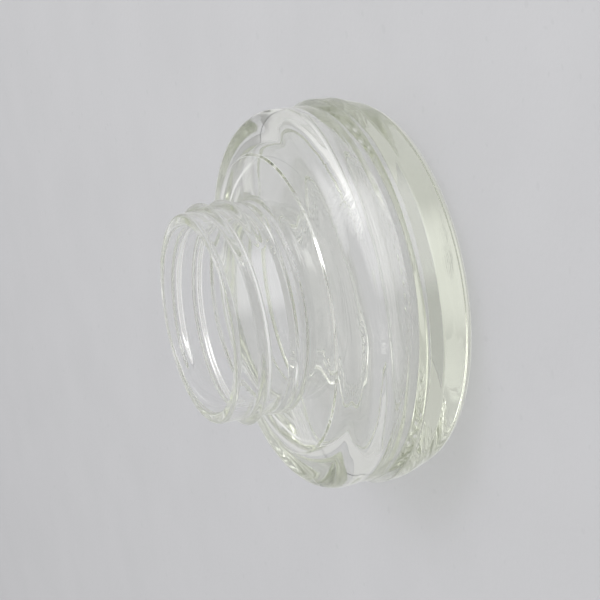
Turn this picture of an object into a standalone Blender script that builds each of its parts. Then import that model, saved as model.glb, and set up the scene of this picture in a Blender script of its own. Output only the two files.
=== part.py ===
"""Squat hollow glass body with a screw-threaded neck, in one moulded piece. Blender 4.5, metres, +Z up.

The origin is the centre of the plane the base rests on, and +Z runs along the axis to the open mouth.
"""

import math

import bmesh
import bpy
from mathutils import Vector

# Overall sizes.
BODY_HEIGHT = 0.0408
BODY_RADIUS = 0.03745

# Outer form below the shoulder: heights above the bearing plane, and how far each place lies inside BODY_RADIUS.
SHOULDER_INSET = 0.00065
SHOULDER_ROUNDING = 0.0050
WAIST_INSET = 0.00105
WAIST_HEIGHT = 0.0136
WAIST_ROUNDING = 0.0012
BELT_HEIGHT = 0.0118
BELT_ROUNDING = 0.0014
HEEL_INSET = 0.00015
HEEL_HEIGHT = 0.0084
HEEL_ROUNDING = 0.0033
FOOT_INSET = 0.00285
FOOT_ROUNDING = 0.0063

# Underside: a flat bearing ring round a shallow recess.
REST_WIDTH = 0.0088
RECESS_DEPTH = 0.0008
RECESS_SLOPE = 0.0010
RECESS_ROUNDING = 0.0005

# Neck: a thin wall that ends in a rounded lip with a narrow flat land, and a small bead just above its root.
LIP_RADIUS = 0.0200
NECK_WALL = 0.0023
NECK_ROOT_DROP = 0.0135
NECK_ROOT_ROUNDING = 0.0020
LIP_ROUNDING = 0.0007
BEAD_ABOVE_ROOT = 0.0023
BEAD_HEIGHT = 0.0005
BEAD_HALF_WIDTH = 0.0009

# Shoulder: a gentle slope down from the neck root, with the small step that the joint of the mould leaves.
SHOULDER_FALL = 0.0039
STEP_FROM_NECK = 0.0086
STEP_HEIGHT = 0.0003
STEP_WIDTH = 0.0004
STEP_ROUNDING = 0.0003

# Cavity: heavy walls and a thick floor. Each wall is measured to the corner outside it.
FLOOR_THICKNESS = 0.0080
SIDE_WALL_AT_FLOOR = 0.00885
SIDE_WALL_AT_TOP = 0.00465
SHOULDER_WALL = 0.00505
ROOT_WALL = 0.0052
CAVITY_FOOT_ROUNDING = 0.0017
CAVITY_TOP_ROUNDING = 0.0059
BORE_ROOT_ROUNDING = 0.0024

# Right-hand thread outside the neck. Angles are seen from above, anticlockwise from +X. It winds down from
# THREAD_START_DEG until it is THREAD_ABOVE_BEAD short of the bead.
THREAD_PITCH = 0.0043
THREAD_CREST = 0.0014
THREAD_SECTION_RADIUS = 0.00115
THREAD_DROP_AT_X = 0.0040
THREAD_START_DEG = 130.0
THREAD_ABOVE_BEAD = 0.00218
THREAD_RUN_OUT_DEG = 36.0
THREAD_SUNK_RADIUS = 0.0004

# Fineness of the mesh.
TURN_STEPS = 60
ARC_STEP_DEG = 24.0
THREAD_STEP_DEG = 9.0

# Heights that the sizes above settle.
NECK_ROOT_HEIGHT = BODY_HEIGHT - NECK_ROOT_DROP
SHOULDER_HEIGHT = NECK_ROOT_HEIGHT - SHOULDER_FALL
SHOULDER_RADIUS = BODY_RADIUS - SHOULDER_INSET
BEAD_DROP = NECK_ROOT_DROP - BEAD_ABOVE_ROOT
THREAD_END_DEG = 360.0 * (THREAD_DROP_AT_X - BEAD_DROP + THREAD_ABOVE_BEAD) / THREAD_PITCH


def clear_scene():
    """Remove every object that the file opened with."""
    for item in list(bpy.data.objects):
        bpy.data.objects.remove(item, do_unlink=True)


def new_collection(name):
    """Add a collection to the scene."""
    group = bpy.data.collections.new(name)
    bpy.context.scene.collection.children.link(group)
    return group


def clear_glass():
    """Clear glass with a faint green cast."""
    glass = bpy.data.materials.new("clear_glass")
    glass.use_nodes = True
    shader = glass.node_tree.nodes["Principled BSDF"]
    shader.inputs["Base Color"].default_value = (0.86, 0.90, 0.84, 1.0)
    shader.inputs["Roughness"].default_value = 0.03
    shader.inputs["Metallic"].default_value = 0.0
    shader.inputs["IOR"].default_value = 1.52
    shader.inputs["Transmission Weight"].default_value = 1.0
    return glass


def fillet(before, corner, after, rounding):
    """Points of the arc that rounds a corner, held to what its two sides leave room for."""
    back = before - corner
    onward = after - corner
    half_angle = back.angle(onward) / 2
    if rounding <= 0 or half_angle > math.radians(89.5):
        return [corner]
    reach = min(rounding / math.tan(half_angle), 0.48 * back.length, 0.48 * onward.length)
    radius = reach * math.tan(half_angle)
    centre = corner + (back.normalized() + onward.normalized()).normalized() * radius / math.sin(half_angle)
    start = corner + back.normalized() * reach - centre
    end = corner + onward.normalized() * reach - centre
    turn = math.atan2(start.cross(end), start.dot(end))
    steps = max(2, math.ceil(abs(math.degrees(turn)) / ARC_STEP_DEG))
    arc = []
    for i in range(steps + 1):
        angle = math.atan2(start.y, start.x) + turn * i / steps
        arc.append(centre + Vector((math.cos(angle), math.sin(angle))) * radius)
    return arc


def rounded_path(corners):
    """Turn (radius, height, rounding) corners into the points of one smooth outline."""
    places = [Vector(corner[:2]) for corner in corners]
    path = [places[0]]
    for i in range(1, len(corners) - 1):
        path += fillet(places[i - 1], places[i], places[i + 1], corners[i][2])
    path.append(places[-1])
    return path


def cavity_corners():
    """Inside outline, from the middle of the floor up to the mouth."""
    bore = LIP_RADIUS - NECK_WALL
    return [
        (0.0, FLOOR_THICKNESS, 0.0),
        (BODY_RADIUS - SIDE_WALL_AT_FLOOR, FLOOR_THICKNESS, CAVITY_FOOT_ROUNDING),
        (BODY_RADIUS - SIDE_WALL_AT_TOP, SHOULDER_HEIGHT - SHOULDER_WALL, CAVITY_TOP_ROUNDING),
        (bore, NECK_ROOT_HEIGHT - ROOT_WALL, BORE_ROOT_ROUNDING),
        (bore, BODY_HEIGHT, LIP_ROUNDING),
    ]


def neck_corners():
    """Outside of the neck, from the lip down to its root."""
    bead = BODY_HEIGHT - BEAD_DROP
    return [
        (LIP_RADIUS, BODY_HEIGHT, LIP_ROUNDING),
        (LIP_RADIUS, bead + BEAD_HALF_WIDTH, BEAD_HEIGHT),
        (LIP_RADIUS + BEAD_HEIGHT, bead, BEAD_HEIGHT),
        (LIP_RADIUS, bead - BEAD_HALF_WIDTH, BEAD_HEIGHT),
        (LIP_RADIUS, NECK_ROOT_HEIGHT, NECK_ROOT_ROUNDING),
    ]


def slope_height(radius):
    """Height of the shoulder's plain slope at a radius."""
    share = (radius - LIP_RADIUS) / (SHOULDER_RADIUS - LIP_RADIUS)
    return NECK_ROOT_HEIGHT - SHOULDER_FALL * share


def shoulder_corners():
    """Outside of the shoulder, from the foot of the neck to the side."""
    step_top = LIP_RADIUS + STEP_FROM_NECK
    step_foot = step_top + STEP_WIDTH
    return [
        (step_top, slope_height(step_top) + STEP_HEIGHT, STEP_ROUNDING),
        (step_foot, slope_height(step_foot), STEP_ROUNDING),
        (SHOULDER_RADIUS, SHOULDER_HEIGHT, SHOULDER_ROUNDING),
    ]


def body_corners():
    """Outside of the body, from the waist down to the middle of the underside."""
    foot = BODY_RADIUS - FOOT_INSET
    recess = foot - REST_WIDTH
    return [
        (BODY_RADIUS - WAIST_INSET, WAIST_HEIGHT, WAIST_ROUNDING),
        (BODY_RADIUS, BELT_HEIGHT, BELT_ROUNDING),
        (BODY_RADIUS - HEEL_INSET, HEEL_HEIGHT, HEEL_ROUNDING),
        (foot, 0.0, FOOT_ROUNDING),
        (recess, 0.0, RECESS_ROUNDING),
        (recess - RECESS_SLOPE, RECESS_DEPTH, RECESS_ROUNDING),
        (0.0, RECESS_DEPTH, 0.0),
    ]


def turned_body(group):
    """The glass wall, floor and neck, turned about Z."""
    outline = rounded_path(cavity_corners() + neck_corners() + shoulder_corners() + body_corners())
    mesh = bpy.data.meshes.new("glass_body")
    points = [(place.x, 0.0, place.y) for place in outline]
    edges = [(i, i + 1) for i in range(len(points) - 1)]
    mesh.from_pydata(points, edges, [])
    body = bpy.data.objects.new("glass_body", mesh)
    group.objects.link(body)
    screw = body.modifiers.new("Turning", "SCREW")
    screw.axis = "Z"
    screw.steps = TURN_STEPS
    screw.render_steps = TURN_STEPS
    screw.use_merge_vertices = True
    screw.merge_threshold = 0.00001
    screw.use_smooth_shade = True
    return body


def thread_place(angle_deg):
    """Centre of the thread's round section at an angle, and the section's radius there."""
    from_end = min(THREAD_START_DEG - angle_deg, angle_deg - THREAD_END_DEG)
    share = min(1.0, from_end / THREAD_RUN_OUT_DEG)
    rise = share * share * (3 - 2 * share)
    section = THREAD_SUNK_RADIUS + (THREAD_SECTION_RADIUS - THREAD_SUNK_RADIUS) * rise
    crest = LIP_RADIUS - THREAD_SUNK_RADIUS + (THREAD_CREST + THREAD_SUNK_RADIUS) * rise
    drop = THREAD_DROP_AT_X - THREAD_PITCH * angle_deg / 360.0
    angle = math.radians(angle_deg)
    distance = crest - section
    place = (distance * math.cos(angle), distance * math.sin(angle), BODY_HEIGHT - drop)
    return place, section


def thread_coil(group):
    """One and a half turns of thread as a solid coil, ready to be joined to the neck."""
    steps = round((THREAD_START_DEG - THREAD_END_DEG) / THREAD_STEP_DEG)
    data = bpy.data.curves.new("thread_coil", "CURVE")
    data.dimensions = "3D"
    data.bevel_depth = THREAD_SECTION_RADIUS
    data.bevel_resolution = 2
    data.use_fill_caps = True
    line = data.splines.new("POLY")
    line.points.add(steps)
    for i, point in enumerate(line.points):
        share = i / steps
        angle_deg = THREAD_START_DEG + (THREAD_END_DEG - THREAD_START_DEG) * share
        place, section = thread_place(angle_deg)
        point.co = (*place, 1.0)
        point.radius = section / THREAD_SECTION_RADIUS
    coil = bpy.data.objects.new("thread_coil", data)
    group.objects.link(coil)
    return as_mesh(coil, group)


def as_mesh(curve, group):
    """Replace a curve by the closed mesh it draws."""
    bpy.context.view_layer.update()
    evaluated = curve.evaluated_get(bpy.context.evaluated_depsgraph_get())
    mesh = bpy.data.meshes.new_from_object(evaluated)
    work = bmesh.new()
    work.from_mesh(mesh)
    bmesh.ops.remove_doubles(work, verts=work.verts, dist=0.000001)
    bmesh.ops.recalc_face_normals(work, faces=work.faces)
    work.to_mesh(mesh)
    work.free()
    solid = bpy.data.objects.new(curve.name + "_solid", mesh)
    solid.matrix_world = curve.matrix_world
    group.objects.link(solid)
    bpy.data.objects.remove(curve, do_unlink=True)
    return solid


def join_thread(body, coil):
    """Union the coil with the neck, and keep the coil out of sight."""
    join = body.modifiers.new("Thread", "BOOLEAN")
    join.operation = "UNION"
    join.solver = "EXACT"
    join.object = coil
    coil.hide_render = True
    coil.display_type = "WIRE"


def main():
    clear_scene()
    parts = new_collection("screw_neck_glass_body")
    formers = new_collection("formers")
    body = turned_body(parts)
    join_thread(body, thread_coil(formers))
    body.data.materials.append(clear_glass())


main()
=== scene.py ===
"""Looks of the screw-neck glass body: fine moulded glass, pale floor, soft light and camera. Metres, +Z up."""

import math

import bmesh
import bpy
from mathutils import Matrix, Vector, noise


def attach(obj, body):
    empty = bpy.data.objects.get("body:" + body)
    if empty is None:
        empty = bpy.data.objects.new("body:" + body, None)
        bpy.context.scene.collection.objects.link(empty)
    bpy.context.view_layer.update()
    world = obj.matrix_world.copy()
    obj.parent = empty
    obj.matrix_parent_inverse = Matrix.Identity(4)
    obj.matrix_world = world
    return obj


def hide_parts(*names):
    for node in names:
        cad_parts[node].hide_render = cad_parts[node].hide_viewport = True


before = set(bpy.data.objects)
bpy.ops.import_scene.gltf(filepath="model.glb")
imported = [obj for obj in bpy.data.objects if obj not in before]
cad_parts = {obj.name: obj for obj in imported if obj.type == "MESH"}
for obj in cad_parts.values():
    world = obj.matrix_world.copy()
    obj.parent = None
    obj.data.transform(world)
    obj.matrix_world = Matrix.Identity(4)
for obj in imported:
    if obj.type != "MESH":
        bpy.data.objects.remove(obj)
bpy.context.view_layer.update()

# Overall sizes, as the frame has them.
BODY_HEIGHT = 0.0408
BODY_RADIUS = 0.03745

# Outer form below the shoulder: heights, and how far each place lies inside BODY_RADIUS.
SHOULDER_INSET = 0.00065
SHOULDER_ROUNDING = 0.0050
WAIST_INSET = 0.00105
WAIST_HEIGHT = 0.0136
WAIST_ROUNDING = 0.0012
BELT_HEIGHT = 0.0118
BELT_ROUNDING = 0.0014
HEEL_INSET = 0.00015
HEEL_HEIGHT = 0.0084
HEEL_ROUNDING = 0.0033
FOOT_INSET = 0.00285
FOOT_ROUNDING = 0.0063

# Underside.
REST_WIDTH = 0.0088
RECESS_DEPTH = 0.0008
RECESS_SLOPE = 0.0010
RECESS_ROUNDING = 0.0005

# Neck.
LIP_RADIUS = 0.0200
NECK_WALL = 0.0023
NECK_ROOT_DROP = 0.0135
NECK_ROOT_ROUNDING = 0.0020
LIP_ROUNDING = 0.0007
BEAD_ABOVE_ROOT = 0.0023
BEAD_HEIGHT = 0.0005
BEAD_HALF_WIDTH = 0.0009

# Shoulder, with the small step where the mould's parts met.
SHOULDER_FALL = 0.0039
STEP_FROM_NECK = 0.0086
STEP_HEIGHT = 0.0003
STEP_WIDTH = 0.0004
STEP_ROUNDING = 0.0003

# Cavity.
FLOOR_THICKNESS = 0.0080
SIDE_WALL_AT_FLOOR = 0.00885
SIDE_WALL_AT_TOP = 0.00465
SHOULDER_WALL = 0.00505
ROOT_WALL = 0.0052
CAVITY_FOOT_ROUNDING = 0.0017
CAVITY_TOP_ROUNDING = 0.0059
BORE_ROOT_ROUNDING = 0.0024

# What the sizes above settle.
NECK_ROOT_HEIGHT = BODY_HEIGHT - NECK_ROOT_DROP
BEAD_DROP = NECK_ROOT_DROP - BEAD_ABOVE_ROOT
BEAD_TOP = BODY_HEIGHT - BEAD_DROP + BEAD_HALF_WIDTH
SHOULDER_HEIGHT = NECK_ROOT_HEIGHT - SHOULDER_FALL
SHOULDER_RADIUS = BODY_RADIUS - SHOULDER_INSET
RECESS_RADIUS = BODY_RADIUS - FOOT_INSET - REST_WIDTH - RECESS_SLOPE

# Right-hand thread.
THREAD_PITCH = 0.0043
THREAD_CREST = 0.0014
THREAD_HALF_WIDTH = 0.0012
THREAD_DROP_AT_X = 0.0040
THREAD_START_DEG = 130.0
THREAD_ABOVE_BEAD = 0.00218
THREAD_RUN_OUT_DEG = 36.0
THREAD_END_DEG = 360.0 * (THREAD_DROP_AT_X - BEAD_DROP + THREAD_ABOVE_BEAD) / THREAD_PITCH

# Unevenness of the glass: how far each wall strays, and over what length.
INSIDE_STRAY = 0.00012
INSIDE_STRAY_LENGTH = 0.013
OUTSIDE_STRAY = 0.00003
OUTSIDE_STRAY_LENGTH = 0.010
FINER_STRAY = 2.1
FINER_STRAY_SHARE = 0.4
CAVITY_SHIFT = 0.0012
NECK_FADE = 0.008

# Two rings of small studs under the base, in the recess.
STUD_RING_RADII = (0.0212, 0.0229)
STUD_COUNT = 54
STUD_RADIUS = 0.0007
STUD_RISE = 0.0003
STUD_STEEPNESS = 1.5

# Surface and colour of the glass. Patterns are in bends per metre.
SEAM_HALF_WIDTH = 0.0004
SEAM_RISE = 0.00008
CHILL_TURN = (0.5, 0.4, 0.9)
CHILL_STRETCH = (1.0, 7.0, 1.0)
CHILL_RIPPLES = 160.0
CHILL_PATCHES = 45.0
CHILL_PATCH_EDGE = (0.55, 0.68)
CHILL_SHARE = 0.5
HANDLED_PATCHES = 90.0
HANDLED_EDGE = (0.50, 0.75)
HANDLED_ROUGHNESS = 0.03
GLASS_IOR = 1.52
GLASS_TINT = (0.66, 0.70, 0.52, 1.0)
GLASS_DENSITY = 10.0
LIT_THROUGH_TINT = (0.97, 0.97, 0.97, 1.0)

# Paper floor.
FLOOR_SIZE = 6.0
PAPER_COLOUR = (0.435, 0.435, 0.446)
PAPER_MOTTLE = 35.0
PAPER_MOTTLE_SPREAD = 0.04
PAPER_SPECKS = 420.0
PAPER_SPECK_EDGE = (0.76, 0.82)
PAPER_SPECK_DEPTH = 0.5
PAPER_ROUGHNESS = 0.9
PAPER_SHEEN = 0.1
PAPER_FIBRES = 600.0
PAPER_FIBRE_STRENGTH = 0.15
PAPER_FIBRE_RISE = 0.0004

# Fineness of the glass mesh, and the limits that its roundings and joins keep to.
TURN_STEPS = 340
ARC_STEP_DEG = 7.5
PLAIN_ROW = 0.0015
STUD_ROW = 0.0003
SAME_PLACE = 0.000001
ROUNDING_SHARE = 0.48
NEARLY_STRAIGHT_DEG = 89.5
THREAD_ROW = 0.00018

# Light: direction, inner and outer angle, and added strength of each soft patch, and the even level round
# them; then name, direction, distance, width, height and power of each box.
GLOWS_AND_PAINTED_SHADOW = [
    ((0.45, -0.78, -0.42), 14.0, 40.0, 3.12),
    ((0.585, -0.225, 0.789), 6.0, 26.0, 3.0),
    ((0.0, 0.93, 0.37), 3.0, 16.0, 0.25),
    # Painted shadow: this patch of negative strength darkens the surroundings where the glass looks onto the
    # paper next to it, in place of its contact shadow.
    ((0.42, 0.90, 0.06), 4.0, 20.0, -0.28),
]
AROUND_LEVEL = 0.68
BOXES = [
    ("left_box", (0.585, -0.225, 0.789), 1.2, 0.5, 0.3, 8),
]

# Camera.
LENS_MM = 108.0
CAMERA_ELEVATION = 21.7
CAMERA_ROLL = 101.0
CAMERA_DISTANCE = 0.3443
CAMERA_AIM = (-0.0001, 0.0, 0.0196)


def fillet(before, corner, after, rounding):
    """Points of the arc that rounds a corner, held to what its two sides leave room for."""
    back = before - corner
    onward = after - corner
    half_angle = back.angle(onward) / 2
    if rounding <= 0 or half_angle > math.radians(NEARLY_STRAIGHT_DEG):
        return [corner]
    room = ROUNDING_SHARE * min(back.length, onward.length)
    reach = min(rounding / math.tan(half_angle), room)
    radius = reach * math.tan(half_angle)
    centre = corner + (back.normalized() + onward.normalized()).normalized() * radius / math.sin(half_angle)
    start = corner + back.normalized() * reach - centre
    end = corner + onward.normalized() * reach - centre
    turn = math.atan2(start.cross(end), start.dot(end))
    steps = max(3, math.ceil(abs(math.degrees(turn)) / ARC_STEP_DEG))
    arc = []
    for i in range(steps + 1):
        angle = math.atan2(start.y, start.x) + turn * i / steps
        arc.append(centre + Vector((math.cos(angle), math.sin(angle))) * radius)
    return arc


def rounded_path(corners):
    """Turn (radius, height, rounding) corners into the points of one smooth outline."""
    places = [Vector(corner[:2]) for corner in corners]
    path = [places[0]]
    for i in range(1, len(corners) - 1):
        path += fillet(places[i - 1], places[i], places[i + 1], corners[i][2])
    path.append(places[-1])
    return path


def row_length(start, end):
    """How far apart the rows are on a straight run: close where the thread stands out."""
    on_neck = max(abs(start.x - LIP_RADIUS), abs(end.x - LIP_RADIUS)) < SAME_PLACE
    above_bead = (start.y + end.y) / 2 > BEAD_TOP
    return THREAD_ROW if on_neck and above_bead else PLAIN_ROW


def filled_in(path):
    """Add rows to the long straight runs."""
    rows = [path[0]]
    for start, end in zip(path[:-1], path[1:]):
        count = max(1, math.ceil((end - start).length / row_length(start, end)))
        rows += [start.lerp(end, i / count) for i in range(1, count + 1)]
    return rows


def cavity_corners():
    """Inside outline, from the middle of the floor up to the mouth."""
    bore = LIP_RADIUS - NECK_WALL
    return [
        (0.0, FLOOR_THICKNESS, 0.0),
        (BODY_RADIUS - SIDE_WALL_AT_FLOOR, FLOOR_THICKNESS, CAVITY_FOOT_ROUNDING),
        (BODY_RADIUS - SIDE_WALL_AT_TOP, SHOULDER_HEIGHT - SHOULDER_WALL, CAVITY_TOP_ROUNDING),
        (bore, NECK_ROOT_HEIGHT - ROOT_WALL, BORE_ROOT_ROUNDING),
        (bore, BODY_HEIGHT, LIP_ROUNDING),
    ]


def neck_corners():
    """Outside of the neck, from the lip down to its root."""
    bead = BODY_HEIGHT - BEAD_DROP
    return [
        (LIP_RADIUS, BODY_HEIGHT, LIP_ROUNDING),
        (LIP_RADIUS, bead + BEAD_HALF_WIDTH, BEAD_HEIGHT),
        (LIP_RADIUS + BEAD_HEIGHT, bead, BEAD_HEIGHT),
        (LIP_RADIUS, bead - BEAD_HALF_WIDTH, BEAD_HEIGHT),
        (LIP_RADIUS, NECK_ROOT_HEIGHT, NECK_ROOT_ROUNDING),
    ]


def slope_height(radius):
    """Height of the shoulder's plain slope at a radius."""
    share = (radius - LIP_RADIUS) / (SHOULDER_RADIUS - LIP_RADIUS)
    return NECK_ROOT_HEIGHT - SHOULDER_FALL * share


def shoulder_corners():
    """Outside of the shoulder, from the foot of the neck to the side."""
    step_top = LIP_RADIUS + STEP_FROM_NECK
    step_foot = step_top + STEP_WIDTH
    return [
        (step_top, slope_height(step_top) + STEP_HEIGHT, STEP_ROUNDING),
        (step_foot, slope_height(step_foot), STEP_ROUNDING),
        (SHOULDER_RADIUS, SHOULDER_HEIGHT, SHOULDER_ROUNDING),
    ]


def body_corners():
    """Outside of the body, from the waist down to the recess under the base."""
    foot = BODY_RADIUS - FOOT_INSET
    recess = foot - REST_WIDTH
    return [
        (BODY_RADIUS - WAIST_INSET, WAIST_HEIGHT, WAIST_ROUNDING),
        (BODY_RADIUS, BELT_HEIGHT, BELT_ROUNDING),
        (BODY_RADIUS - HEEL_INSET, HEEL_HEIGHT, HEEL_ROUNDING),
        (foot, 0.0, FOOT_ROUNDING),
        (recess, 0.0, RECESS_ROUNDING),
        (recess - RECESS_SLOPE, RECESS_DEPTH, RECESS_ROUNDING),
    ]


def recess_rows():
    """Rows across the recess, close together where the studs stand."""
    outer = STUD_RING_RADII[1] + STUD_RADIUS
    inner = STUD_RING_RADII[0] - STUD_RADIUS
    count = math.ceil((outer - inner) / STUD_ROW)
    rows = [Vector((outer + (inner - outer) * i / count, RECESS_DEPTH)) for i in range(count + 1)]
    count = math.ceil(inner / PLAIN_ROW)
    return rows + [Vector((inner * (1 - i / count), RECESS_DEPTH)) for i in range(1, count + 1)]


def smooth_step(share):
    share = min(1.0, max(0.0, share))
    return share * share * (3 - 2 * share)


def thread_rise(angle_deg, height):
    """How far the thread stands out of the neck at an angle and a height."""
    drop = BODY_HEIGHT - height
    rise = 0.0
    for turn in (-1, 0, 1):
        wound = angle_deg + 360.0 * turn
        if not THREAD_END_DEG < wound < THREAD_START_DEG:
            continue
        aside = abs(drop - (THREAD_DROP_AT_X - THREAD_PITCH * wound / 360.0)) / THREAD_HALF_WIDTH
        if aside >= 1.0:
            continue
        from_end = min(THREAD_START_DEG - wound, wound - THREAD_END_DEG)
        bump = (math.cos(math.pi * aside) + 1) / 2
        rise = max(rise, THREAD_CREST * bump * smooth_step(from_end / THREAD_RUN_OUT_DEG))
    return rise


def stud_rise(angle, radius):
    """How far a stud stands out of the recess at an angle and a radius."""
    rise = 0.0
    for ring, ring_radius in enumerate(STUD_RING_RADII):
        turns = angle / math.tau * STUD_COUNT + ring / 2
        along = (turns - round(turns)) * math.tau / STUD_COUNT * ring_radius
        away = math.hypot(along, radius - ring_radius) / STUD_RADIUS
        rise = max(rise, STUD_RISE * smooth_step(STUD_STEEPNESS * (1 - away)))
    return rise


def stray(place, length):
    """A smooth wander between about -1 and 1, with a bend every so far and a finer one on it."""
    return noise.noise(place / length) + FINER_STRAY_SHARE * noise.noise(place * FINER_STRAY / length)


def shape_outside(vert):
    """Raise the thread and the studs, and let the outer wall wander a little."""
    radius = math.hypot(vert.co.x, vert.co.y)
    angle = math.atan2(vert.co.y, vert.co.x)
    if vert.co.z > BEAD_TOP and radius > LIP_RADIUS - 0.5 * LIP_ROUNDING:
        rise = thread_rise(math.degrees(angle), vert.co.z)
        vert.co.x *= 1 + rise / radius
        vert.co.y *= 1 + rise / radius
    elif radius < RECESS_RADIUS and vert.co.z < FLOOR_THICKNESS:
        vert.co.z -= stud_rise(angle, radius)
    elif SHOULDER_HEIGHT > vert.co.z > FOOT_ROUNDING:
        vert.co -= vert.normal * OUTSIDE_STRAY * (1 + stray(vert.co, OUTSIDE_STRAY_LENGTH))


def shape_inside(vert):
    """Let the cavity wall wander, as blown glass does, and sit a little to one side."""
    below_neck = smooth_step((NECK_ROOT_HEIGHT - vert.co.z) / NECK_FADE)
    vert.co += vert.normal * INSIDE_STRAY * below_neck * stray(vert.co, INSIDE_STRAY_LENGTH)
    vert.co.x += CAVITY_SHIFT * below_neck


def outline_rows():
    corners = cavity_corners() + neck_corners() + shoulder_corners() + body_corners()
    recess = recess_rows()
    return filled_in(rounded_path(corners + [(*recess[0], 0.0)])) + recess[1:]


def glass_mesh():
    """Turn the whole outline about Z, then shape each side of the glass."""
    work = bmesh.new()
    inside = work.verts.layers.int.new("inside")
    line = [work.verts.new((place.x, 0.0, place.y)) for place in outline_rows()]
    edges = [work.edges.new(pair) for pair in zip(line[:-1], line[1:])]
    for vert in line[:-1]:
        if vert.co.z > BODY_HEIGHT - LIP_ROUNDING:
            break
        vert[inside] = 1
    bmesh.ops.spin(
        work, geom=line + edges, cent=(0, 0, 0), axis=(0, 0, 1), dvec=(0, 0, 0),
        angle=math.tau, steps=TURN_STEPS, use_merge=True, use_normal_flip=False, use_duplicate=False,
    )
    bmesh.ops.remove_doubles(work, verts=work.verts, dist=SAME_PLACE)
    bmesh.ops.recalc_face_normals(work, faces=work.faces)
    work.normal_update()
    for vert in work.verts:
        if vert[inside]:
            shape_inside(vert)
        else:
            shape_outside(vert)
    return work


def glass_piece():
    work = glass_mesh()
    mesh = bpy.data.meshes.new("glass_body_fine")
    work.to_mesh(mesh)
    work.free()
    mesh.shade_smooth()
    piece = bpy.data.objects.new("glass_body_fine", mesh)
    bpy.context.scene.collection.objects.link(piece)
    mesh.materials.append(clear_glass())
    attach(piece, "root")
    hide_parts("glass_body")


def noise_texture(tree, place, scale, detail=2.0):
    texture = tree.nodes.new("ShaderNodeTexNoise")
    texture.inputs["Scale"].default_value = scale
    texture.inputs["Detail"].default_value = detail
    tree.links.new(place, texture.inputs["Vector"])
    return texture.outputs["Fac"]


def map_range(tree, value, from_low, from_high, to_low, to_high):
    ranged = tree.nodes.new("ShaderNodeMapRange")
    ranged.interpolation_type = "SMOOTHSTEP"
    ranged.inputs["From Min"].default_value = from_low
    ranged.inputs["From Max"].default_value = from_high
    ranged.inputs["To Min"].default_value = to_low
    ranged.inputs["To Max"].default_value = to_high
    tree.links.new(value, ranged.inputs["Value"])
    return ranged.outputs["Result"]


def combine(tree, operation, first, second):
    """One maths node on two values, of which the second may be a plain number."""
    node = tree.nodes.new("ShaderNodeMath")
    node.operation = operation
    tree.links.new(first, node.inputs[0])
    if isinstance(second, float):
        node.inputs[1].default_value = second
    else:
        tree.links.new(second, node.inputs[1])
    return node.outputs[0]


def mould_seam(tree, place):
    """A fine raised line down both sides of the outer wall, where the mould closed."""
    parts = tree.nodes.new("ShaderNodeSeparateXYZ")
    tree.links.new(place, parts.inputs[0])
    across = combine(tree, "ABSOLUTE", parts.outputs["Y"], 0.0)
    line = map_range(tree, across, 0.0, SEAM_HALF_WIDTH, 1.0, 0.0)
    outward = combine(tree, "ABSOLUTE", parts.outputs["X"], 0.0)
    outside = map_range(tree, outward, BODY_RADIUS - SIDE_WALL_AT_TOP, SHOULDER_RADIUS, 0.0, 1.0)
    return combine(tree, "MULTIPLY", line, outside)


def chill_marks(tree, place):
    """Faint slanting ripples in patches, left by the cold mould."""
    slant = tree.nodes.new("ShaderNodeMapping")
    slant.inputs["Rotation"].default_value = CHILL_TURN
    slant.inputs["Scale"].default_value = CHILL_STRETCH
    tree.links.new(place, slant.inputs["Vector"])
    ripples = noise_texture(tree, slant.outputs[0], CHILL_RIPPLES)
    patches = map_range(tree, noise_texture(tree, place, CHILL_PATCHES), *CHILL_PATCH_EDGE, 0.0, 1.0)
    return combine(tree, "MULTIPLY", ripples, patches)


def clear_glass():
    """Clear glass with a faint olive cast that shows where it is thick."""
    glass = bpy.data.materials.new("clear_glass_fine")
    glass.use_nodes = True
    tree = glass.node_tree
    place = tree.nodes.new("ShaderNodeTexCoord").outputs["Object"]
    shader = tree.nodes["Principled BSDF"]
    shader.inputs["Base Color"].default_value = (1, 1, 1, 1)
    shader.inputs["IOR"].default_value = GLASS_IOR
    shader.inputs["Transmission Weight"].default_value = 1.0
    handled = noise_texture(tree, place, HANDLED_PATCHES)
    handled = map_range(tree, handled, *HANDLED_EDGE, 0.0, HANDLED_ROUGHNESS)
    tree.links.new(handled, shader.inputs["Roughness"])
    chill = combine(tree, "MULTIPLY", chill_marks(tree, place), CHILL_SHARE)
    relief = combine(tree, "ADD", mould_seam(tree, place), chill)
    bump = tree.nodes.new("ShaderNodeBump")
    bump.inputs["Strength"].default_value = 1.0
    bump.inputs["Distance"].default_value = SEAM_RISE
    tree.links.new(relief, bump.inputs["Height"])
    tree.links.new(bump.outputs[0], shader.inputs["Normal"])
    body = tree.nodes.new("ShaderNodeVolumeAbsorption")
    body.inputs["Color"].default_value = GLASS_TINT
    body.inputs["Density"].default_value = GLASS_DENSITY
    thin = tree.nodes.new("ShaderNodeBsdfTransparent")
    thin.inputs["Color"].default_value = LIT_THROUGH_TINT
    mix = tree.nodes.new("ShaderNodeMixShader")
    rays = tree.nodes.new("ShaderNodeLightPath")
    lit_through = combine(tree, "MAXIMUM", rays.outputs["Is Shadow Ray"], rays.outputs["Is Diffuse Ray"])
    tree.links.new(lit_through, mix.inputs["Fac"])
    tree.links.new(shader.outputs[0], mix.inputs[1])
    tree.links.new(thin.outputs[0], mix.inputs[2])
    tree.links.new(mix.outputs[0], tree.nodes["Material Output"].inputs["Surface"])
    tree.links.new(body.outputs["Volume"], tree.nodes["Material Output"].inputs["Volume"])
    return glass


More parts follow.
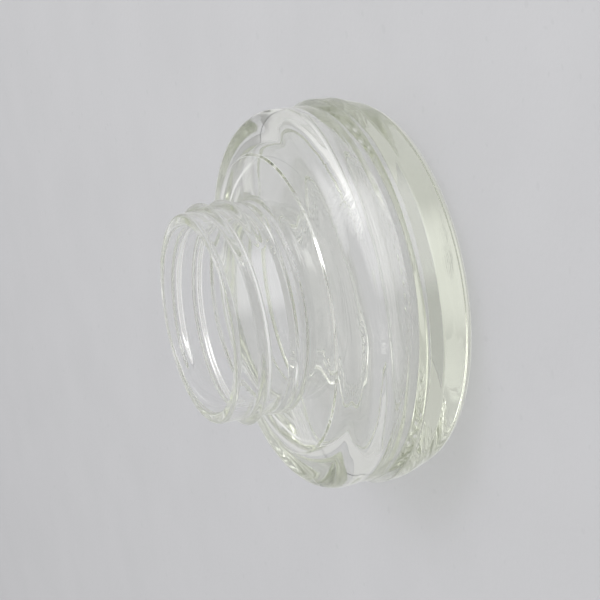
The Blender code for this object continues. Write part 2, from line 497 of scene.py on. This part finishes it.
def pale_paper():
    """Matt pale paper, faintly mottled, with a few specks."""
    paper = bpy.data.materials.new("pale_grey_paper")
    paper.use_nodes = True
    tree = paper.node_tree
    place = tree.nodes.new("ShaderNodeTexCoord").outputs["Object"]
    mottle = noise_texture(tree, place, PAPER_MOTTLE, 4.0)
    specks = noise_texture(tree, place, PAPER_SPECKS, 0.0)
    specks = map_range(tree, specks, *PAPER_SPECK_EDGE, 0.0, PAPER_SPECK_DEPTH)
    shade = combine(tree, "SUBTRACT", mottle, specks)
    colours = tree.nodes.new("ShaderNodeMix")
    colours.data_type = "RGBA"
    for socket, shift in ((6, 1 - PAPER_MOTTLE_SPREAD), (7, 1 + PAPER_MOTTLE_SPREAD)):
        colours.inputs[socket].default_value = (*[shift * level for level in PAPER_COLOUR], 1)
    tree.links.new(shade, colours.inputs[0])
    shader = tree.nodes["Principled BSDF"]
    shader.inputs["Roughness"].default_value = PAPER_ROUGHNESS
    shader.inputs["Specular IOR Level"].default_value = PAPER_SHEEN
    tree.links.new(colours.outputs[2], shader.inputs["Base Color"])
    fibre = tree.nodes.new("ShaderNodeBump")
    fibre.inputs["Strength"].default_value = PAPER_FIBRE_STRENGTH
    fibre.inputs["Distance"].default_value = PAPER_FIBRE_RISE
    tree.links.new(noise_texture(tree, place, PAPER_FIBRES, 3.0), fibre.inputs["Height"])
    tree.links.new(fibre.outputs[0], shader.inputs["Normal"])
    return paper


def floor():
    """The floor; it doesn't show in reflections, so the lights below its level do."""
    bpy.ops.mesh.primitive_plane_add(size=FLOOR_SIZE, location=(0, 0, 0))
    plane = bpy.context.object
    plane.name = "studio_floor"
    plane.data.materials.append(pale_paper())
    plane.visible_glossy = False


def soft_box(name, toward, away, wide, high, power):
    """A soft light on the floor, which the glass sees as a soft patch of the surroundings instead."""
    data = bpy.data.lights.new(name, "AREA")
    data.shape = "RECTANGLE"
    data.size = wide
    data.size_y = high
    data.energy = power
    lamp = bpy.data.objects.new(name, data)
    direction = Vector(toward).normalized()
    lamp.location = Vector((0, 0, BODY_HEIGHT / 2)) + direction * away
    lamp.rotation_mode = "QUATERNION"
    lamp.rotation_quaternion = (-direction).to_track_quat("-Z", "Y")
    lamp.visible_camera = False
    lamp.visible_glossy = False
    lamp.visible_transmission = False
    bpy.context.scene.collection.objects.link(lamp)


def round_patch(tree, direction, toward, inner_deg, outer_deg, strength):
    """A soft-edged round patch of the surroundings, seen from the glass."""
    along = tree.nodes.new("ShaderNodeVectorMath")
    along.operation = "DOT_PRODUCT"
    along.inputs[1].default_value = Vector(toward).normalized()
    tree.links.new(direction, along.inputs[0])
    edge = math.cos(math.radians(outer_deg))
    middle = math.cos(math.radians(inner_deg))
    return map_range(tree, along.outputs["Value"], edge, middle, 0.0, strength)


def surroundings():
    """Even light all round, with soft brighter patches and a duller one, which is painted shadow standing in
    for the glass's own shadow on the paper beside it.
    """
    world = bpy.data.worlds.new("soft_studio")
    bpy.context.scene.world = world
    world.use_nodes = True
    tree = world.node_tree
    direction = tree.nodes.new("ShaderNodeTexCoord").outputs["Generated"]
    level = round_patch(tree, direction, *GLOWS_AND_PAINTED_SHADOW[0])
    for patch in GLOWS_AND_PAINTED_SHADOW[1:]:
        level = combine(tree, "ADD", level, round_patch(tree, direction, *patch))
    level = combine(tree, "ADD", level, AROUND_LEVEL)
    background = tree.nodes["Background"]
    background.inputs["Color"].default_value = (1, 1, 1, 1)
    tree.links.new(level, background.inputs["Strength"])


def camera():
    data = bpy.data.cameras.new("camera")
    data.lens = LENS_MM
    data.sensor_width = 36.0
    data.clip_start = 0.01
    item = bpy.data.objects.new("camera", data)
    bpy.context.scene.collection.objects.link(item)
    tilt = math.radians(CAMERA_ELEVATION)
    back = Vector((0.0, -math.cos(tilt), math.sin(tilt)))
    item.location = Vector(CAMERA_AIM) + back * CAMERA_DISTANCE
    level = (-back).to_track_quat("-Z", "Y").to_matrix().to_4x4()
    turned = level @ Matrix.Rotation(-math.radians(CAMERA_ROLL), 4, "Z")
    turned.translation = item.location
    item.matrix_world = turned
    bpy.context.scene.camera = item


glass_piece()
floor()
surroundings()
for box in BOXES:
    soft_box(*box)
camera()
bpy.context.scene.view_settings.view_transform = "Standard"
bpy.context.scene.cycles.max_bounces = 32
bpy.context.scene.cycles.transmission_bounces = 32
bpy.context.scene.cycles.glossy_bounces = 24
